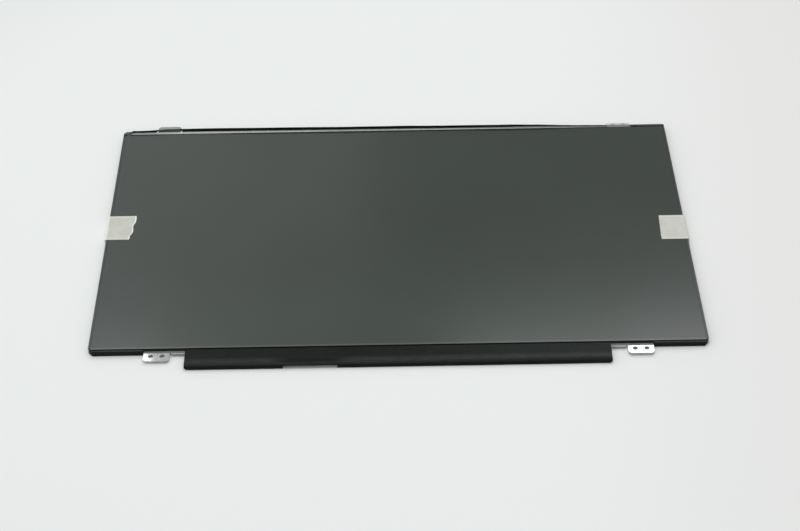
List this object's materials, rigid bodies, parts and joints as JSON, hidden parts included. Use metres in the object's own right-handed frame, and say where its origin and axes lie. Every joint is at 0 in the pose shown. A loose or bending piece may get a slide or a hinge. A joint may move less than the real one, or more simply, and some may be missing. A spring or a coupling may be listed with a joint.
{
  "type": "laptop screen panel",
  "caption": "Slim flat laptop display panel with a dark matte face, a taped circuit board strip along the lower edge, folded metal screw tabs and short paper tapes at the sides.",
  "frame": {"origin": "middle of the footprint, on the surface under the back plate", "axes": "+X along the width, +Y from the board strip to the top edge, +Z out of the screen"},
  "size_m": [0.3222, 0.2108, 0.0055],
  "materials": {
    "light_metal": "bare folded sheet, dull",
    "black_plastic": "fine moulded grain",
    "white_film": "white optical film",
    "clear_plate": "clear acrylic",
    "flex": "white coated flexible circuit",
    "led_body": "white case with yellow fill",
    "black_tape": "satin black film tape",
    "rear_film": "dark film",
    "screen_film": "anti-glare dark film",
    "cell_glass": "polished, dark at the border",
    "driver_film": "amber film",
    "chip": "black moulding",
    "board": "green lacquer",
    "ceramic_cap": "tan ceramic",
    "socket_plastic": "cream moulding",
    "socket_steel": "tinned sheet",
    "contact_gold": "gold plated",
    "paper_tape": "creped masking paper"
  },
  "bodies": {
    "root": {"rear_chassis": "light_metal", "mold_frame": "black_plastic", "reflector_sheet": "white_film", "light_guide_plate": "clear_plate", "lower_diffuser_sheet": "white_film", "lower_prism_sheet": "white_film", "upper_prism_sheet": "white_film", "upper_diffuser_sheet": "white_film", "led_flex_strip": "flex", "leds": "led_body", "light_shield_tape": "black_tape", "rear_polarizer": "rear_film", "tft_glass": "cell_glass", "color_filter_glass": "cell_glass", "front_polarizer": "screen_film", "circuit_board": "board", "timing_chip": "chip", "power_chip": "chip", "backlight_chip": "chip", "backlight_coil": "chip", "board_capacitors": "ceramic_cap", "signal_socket_housing": "socket_plastic", "signal_socket_shell": "socket_steel", "signal_socket_contacts": "contact_gold", "backlight_socket": "socket_plastic", "board_cover_tape": "black_tape", "left_edge_tape": "black_tape", "right_edge_tape": "black_tape", "top_edge_tape": "black_tape", "left_holding_tape": "paper_tape", "right_holding_tape": "paper_tape", "left_driver_film": "driver_film", "left_driver_chip": "chip", "middle_driver_film": "driver_film", "middle_driver_chip": "chip", "right_driver_film": "driver_film", "right_driver_chip": "chip"}
  },
  "joints": []
}
